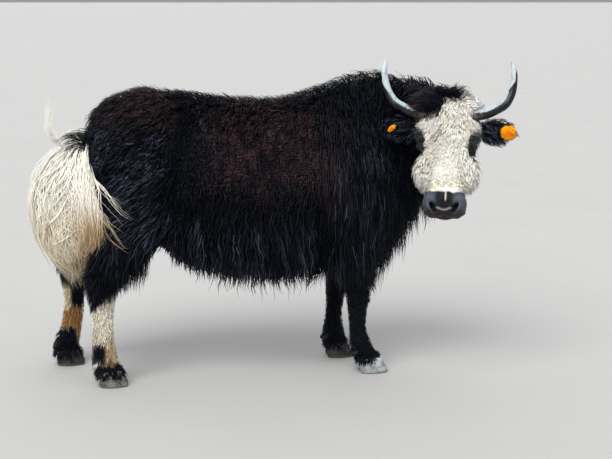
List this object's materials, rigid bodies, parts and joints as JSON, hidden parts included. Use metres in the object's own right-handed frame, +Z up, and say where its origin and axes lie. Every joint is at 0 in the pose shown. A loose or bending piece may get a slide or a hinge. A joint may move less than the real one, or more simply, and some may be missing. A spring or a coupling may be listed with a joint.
{
  "type": "yak",
  "caption": "Still life-size domestic yak, black with a white face and tail, standing square with its head turned to its right.",
  "frame": {"origin": "on the floor, under the middle of the bounding box", "axes": "+X forwards towards the chest and head, +Y to the yak's left, +Z up; the head is turned to the yak's right"},
  "size_m": [1.9716, 0.8014, 1.3437],
  "materials": {
    "black_coat": "long black yak hair, brownish where the sun bleached it",
    "white_face": "woolly white face hair, with a black brow patch, black eye surrounds and a dark grey muzzle",
    "tail_hair": "long cream tail hair, stained tan low down",
    "tan_coat": "short cream and tan leg hair with black patches",
    "horn": "smooth grey horn, paler along its upper side",
    "hoof": "dull slate grey hoof",
    "eye": "wet dark brown eye",
    "orange_yarn": "orange wool tassel"
  },
  "bodies": {
    "root": {"torso": "black_coat", "neck": "black_coat", "head": "white_face", "tail": "tail_hair", "horn_left": "horn", "horn_right": "horn", "ear_left": "black_coat", "ear_right": "black_coat", "ear_tassel_left": "orange_yarn", "ear_tassel_right": "orange_yarn", "eye_left": "eye", "eye_right": "eye", "fore_left_upper": "black_coat", "fore_right_upper": "black_coat", "hind_left_upper": "black_coat", "hind_right_upper": "black_coat", "fore_left_lower": "black_coat", "fore_right_lower": "black_coat", "hind_left_lower": "tan_coat", "hind_right_lower": "tan_coat", "fore_left_hoof_outer": "hoof", "fore_left_hoof_inner": "hoof", "fore_right_hoof_outer": "hoof", "fore_right_hoof_inner": "hoof", "hind_left_hoof_outer": "hoof", "hind_left_hoof_inner": "hoof", "hind_right_hoof_outer": "hoof", "hind_right_hoof_inner": "hoof", "fore_left_dewclaw_outer": "hoof", "fore_left_dewclaw_inner": "hoof", "fore_right_dewclaw_outer": "hoof", "fore_right_dewclaw_inner": "hoof", "hind_left_dewclaw_outer": "hoof", "hind_left_dewclaw_inner": "hoof", "hind_right_dewclaw_outer": "hoof", "hind_right_dewclaw_inner": "hoof"}
  },
  "joints": []
}
